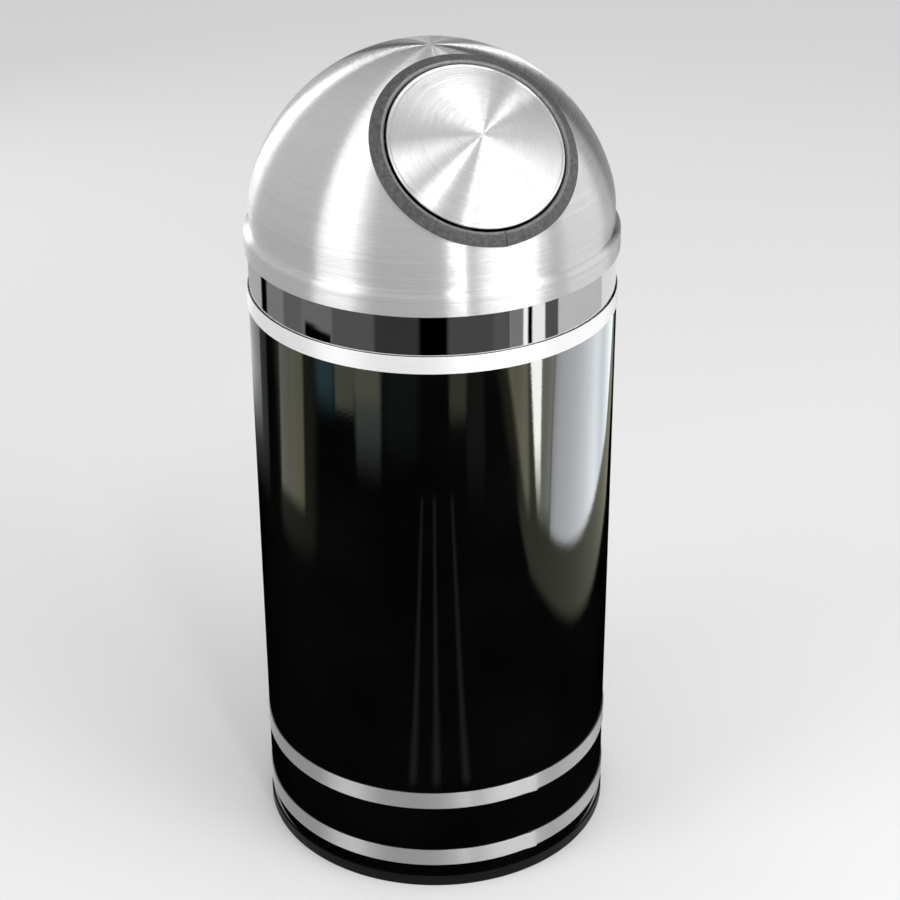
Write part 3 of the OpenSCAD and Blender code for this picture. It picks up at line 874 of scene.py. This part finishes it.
def card(name, material, seen_by, turns, steps, spot, glow_at):
    """A curved card that only shows in the gloss of the objects that it is set for.

    spot gives the radius and height for a turn and a share across the card, from 0 to 1.
    glow_at gives the colour for a turn and a radius.
    """
    points = []
    colours = []
    for turn in turns:
        direction = way(turn, 0)
        for j in range(steps + 1):
            radius, height = spot(turn, j / steps)
            points.append((direction.x * radius, direction.y * radius, height))
            colours += (*glow_at(turn, radius), 1.0)
    row = steps + 1
    faces = [
        (i * row + j, i * row + j + 1, (i + 1) * row + j + 1, (i + 1) * row + j)
        for i in range(len(turns) - 1) for j in range(steps)
    ]
    mesh = bpy.data.meshes.new(name)
    mesh.from_pydata(points, [], faces)
    glow = mesh.color_attributes.new("glow", "FLOAT_COLOR", "POINT")
    glow.data.foreach_set("color", colours)
    obj = link(name, mesh)
    paint(obj, material)
    obj.visible_camera = False
    obj.visible_diffuse = False
    obj.visible_transmission = False
    obj.visible_shadow = False
    obj.light_linking.receiver_collection = seen_by


def floor_card(name, material, seen_by, near, glow_at, height, turn_step=0.5, steps=130):
    """A card that lies on the floor all round, from a radius out to the cards' edge."""
    turns = [-180 + turn_step * i for i in range(round(360 / turn_step) + 1)]
    card(
        name, material, seen_by, turns, steps,
        lambda turn, share: (near + (CARD_FAR - near) * share, height), glow_at,
    )


# Radius on the floor that shows in the gloss where the collar meets the shell: in front, and
# how much less it is at a turn
BORDER_R = 1.525
BORDER_LESS = 0.075
BORDER_TURN = 135


def border(turn):
    return BORDER_R - BORDER_LESS * (turn / BORDER_TURN) ** 2


# What the collar shows: start and end in degrees to the camera's right, brightness, and softness
COLLAR_GLOW = [
    (-220, -127, 0.42, 3.0), (-119, -100, 0.19, 3.0), (-100, -84, 0.11, 3.0),
    (-84, -61, 0.14, 3.0), (-61, -34, 0.085, 3.0), (-34, -8, 0.035, 3.0), (8.5, 35, 0.065, 3.0),
    (35, 45, 0.09, 3.0), (45, 54, 0.2, 1.2), (54, 57, 1.0, 1.2), (60, 69, 0.92, 1.2),
    (69, 79, 0.085, 1.2), (79, 124, 0.52, 1.2), (124, 220, 0.76, 1.2),
]

# A dark block low in the collar: start, end and softness in degrees, then its height over the
# border as a radius, what that gains a degree past a turn, and the softness of its top
BLOCK_START = -81
BLOCK_END = -62
BLOCK_SOFT = 1.5
BLOCK_R = 0.045
BLOCK_SLOPE = 0.002
BLOCK_SLOPE_TURN = -66
BLOCK_TOP_SOFT = 0.012


def between(turn, start, end, soft):
    """1 between two turns and 0 outside them, with soft edges."""
    return smooth_step(turn, start, soft) * (1 - smooth_step(turn, end, soft))


def collar_glow(turn, radius):
    total = sum(
        level * between(turn, start, end, soft) for start, end, level, soft in COLLAR_GLOW
    )
    top = border(turn) + BLOCK_R + BLOCK_SLOPE * max(0, BLOCK_SLOPE_TURN - turn)
    block = between(turn, BLOCK_START, BLOCK_END, BLOCK_SOFT)
    total *= 1 - block * (1 - smooth_step(radius, top, BLOCK_TOP_SOFT))
    return (total, total, total)


# What the shell shows. Each row gives, in degrees to the camera's right: where it starts and ends
# on the far side, where it starts and ends NEAR_SPAN nearer, and how soft those edges are. Then
# the turn where it comes nearest, its radius there, how much its end bows, the end's softness,
# and the glow.
NEAR_SPAN = 0.5
BOW_SPAN = 40
SHELL_GLOW = [
    (-190, -131, -190, -131, 2, -125, 1.1, 0.0, 0.3, (0.6, 0.64, 0.6)),
    (-190, -121, -190, -121, 3, -125, 0.95, 0.0, 0.3, (0.14, 0.15, 0.14)),
    (-105, -94, -105, -94, 2, -85, 0.92, 0.05, 0.05, (0.9, 0.9, 0.8)),
    (-94, -83, -94, -83, 2, -85, 0.92, 0.05, 0.05, (1.05, 1.02, 0.72)),
    (-110, -72, -106, -74, 8, -88, 0.8, 0.15, 0.1, (0.13, 0.14, 0.1)),
    (-73, -59, -70, -61, 6, -65, 1.3, 0.2, 0.16, (0.3, 0.62, 0.72)),
    (-59, -47, -59, -47, 2, -47, 1.29, 0.0, 0.04, (1.1, 1.1, 0.82)),
    (-47, -31, -47, -31, 2, -47, 1.33, 0.0, 0.1, (0.6, 0.5, 0.25)),
    (-47, -30, -45, -31, 3, -30, 1.17, 0.03, 0.26, (0.75, 0.9, 0.8)),
    (-29, -8, -27, -10, 6, -20, 1.2, 0.0, 0.2, (0.08, 0.1, 0.1)),
    (9, 19, 9, 18, 2, 15, 1.3, 0.1, 0.1, (0.65, 0.7, 0.48)),
    (19, 29, 19, 29, 3, 24, 1.1, 0.0, 0.25, (0.1, 0.12, 0.1)),
    (36, 46, 48, 54, 6, 60, 1.1, 0.3, 0.16, (0.25, 0.25, 0.16)),
    (42, 56.6, 54, 57, 3, 57, 0.98, 0.3, 0.14, (1.9, 1.85, 1.3)),
    (58, 66.5, 61.8, 64.8, 0.8, 62, 1.05, 0.03, 0.3, (18.0, 18.0, 17.4)),
    (66.5, 76.5, 64.6, 71.5, 1.5, 70, 0.92, 0.03, 0.1, (1.6, 1.65, 1.35)),
    (77.5, 150, 72.8, 150, 1.5, 94, 0.8, 0.21, 0.035, (2.3, 2.5, 2.75)),
    (77.5, 122, 72.8, 118, 14, 94, 0.8, 0.21, 0.035, (2.3, 2.3, 2.4)),
    (52, 150, 50, 150, 6, 97, 0.6, 0.19, 0.05, (0.5, 0.51, 0.38)),
]

# Faint lines down the shell's middle: each one's turn at its top and at its foot, and for all of
# them the far radius, the reach, the half width and the glow
SHELL_LINES = [(-7, -12), (0, 0), (10, 15)]
LINE_FAR = 1.05
LINE_REACH = 0.69
LINE_HALF = 0.02
LINE_GLOW = Vector((0.24, 0.26, 0.2))


def shell_glow(turn, radius):
    total = Vector((0, 0, 0))
    nearer = max(0.0, border(turn) - radius) / NEAR_SPAN
    for start, end, near_start, near_end, soft, low, near, bow, fade, colour in SHELL_GLOW:
        along = (turn - low) / BOW_SPAN
        here_start = start + (near_start - start) * nearer
        here_end = end + (near_end - end) * nearer
        share = between(turn, here_start, here_end, soft)
        share *= smooth_step(radius, near + bow * max(along * along, along**4), fade)
        total += share * Vector(colour)
    share = (LINE_FAR - radius) / LINE_REACH
    for top_turn, foot_turn in SHELL_LINES:
        off = math.radians(turn - top_turn - (foot_turn - top_turn) * share) * radius
        line = max(0.0, 1 - abs(off) / LINE_HALF) * (0 < share < 1)
        total += line * LINE_GLOW
    return total


# What the satin metal shows of the floor, and how much more of it to the camera's right
SATIN_GLOW = 0.52
SATIN_GLOW_MORE = 0.12


def floor_glow(turn, radius):
    level = SATIN_GLOW + SATIN_GLOW_MORE * math.sin(math.radians(turn))
    return (level, level, level)


# Soft lamps: turn to the camera's right, rise, width and height in degrees, and brightness
LAMPS = [
    ("left", -59, 25, 26, 46, 2.5),
    ("front_low", 17.5, 10, 2, 18, 15.0),
    ("front_high", 16, 50, 5, 8, 26.0),
    ("right", 46, 20, 36, 38, 2.2),
    ("right_high", 62, 42, 30, 24, 3.2),
    ("right_far", 103, 10, 40, 26, 0.85),
    ("rim_left", -146, 10, 18, 20, 2.2),
    ("rim_right", 171, 14, 4, 8, 7.0),
]


def make_studio(shell, collar):
    stage_plane("studio_floor", FLOOR_HALF, FLOOR_Z, floor_material())
    world = bpy.data.worlds.new("studio")
    bpy.context.scene.world = world
    world.use_nodes = True
    world.node_tree.nodes["Background"].inputs[0].default_value = grey(WORLD_LEVEL)
    world.node_tree.nodes["Background"].inputs[1].default_value = 1.0
    others = [o for o in bpy.data.objects if o.type == "MESH" and o not in (shell, collar)]
    satin = group("all_but_gloss", *others)
    solid = card_material("studio_card", False)
    clear = card_material("studio_glow", True)
    near, height = SATIN_CARD
    floor_card("card_floor", solid, satin, near, floor_glow, height, turn_step=5, steps=1)
    for start, end in BACK_CARDS:
        turns = [start + (end - start) * i / BACK_STEPS for i in range(BACK_STEPS + 1)]
        card(
            f"card_back_{start}", solid, satin, turns, 1,
            lambda turn, share: (BACK_R, BACK_FOOT_Z + BACK_H * share),
            lambda turn, radius: BACK_GLOW,
        )
    near, height = SHELL_CARD
    floor_card("card_shell", clear, group("shell_only", shell), near, shell_glow, height)
    near, height = COLLAR_CARD
    floor_card("card_collar", clear, group("collar_only", collar), near, collar_glow, height)
    for name, *numbers in LAMPS:
        soft_lamp("lamp_" + name, *numbers)


def make_camera():
    data = bpy.data.cameras.new("photo_camera")
    data.sensor_fit = "HORIZONTAL"
    data.sensor_width = SENSOR
    data.lens = SENSOR * FOCAL_SHARE
    data.clip_start = CAMERA_NEAR
    data.clip_end = CAMERA_FAR
    obj = link("photo_camera", data)
    axes = Matrix((CAMERA_RIGHT, CAMERA_UP, -CAMERA_AHEAD)).transposed()
    obj.matrix_world = Matrix.Translation(CAMERA_PLACE) @ axes.to_4x4()
    bpy.context.scene.camera = obj


def main():
    materials = make_materials()
    shell = make_body_shell()
    collar = make_collar()
    pieces = [
        make_base_ring(), shell, collar, make_dome(), make_trim(), make_door(), make_liner(),
        make_band("lower_band", LOW_SEAM), make_band("middle_band", LOW_SEAM),
        make_band("upper_band", UPPER_SEAM),
    ]
    for piece in pieces:
        paint(piece, materials[PIECE_FINISH.get(piece.name, piece["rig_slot"])])
    for slot, names in CAD_SLOTS.items():
        for node in names:
            paint(nodes[node], materials[slot])
    make_studio(shell, collar)
    make_camera()
    bpy.context.scene.view_settings.view_transform = "Standard"


main()
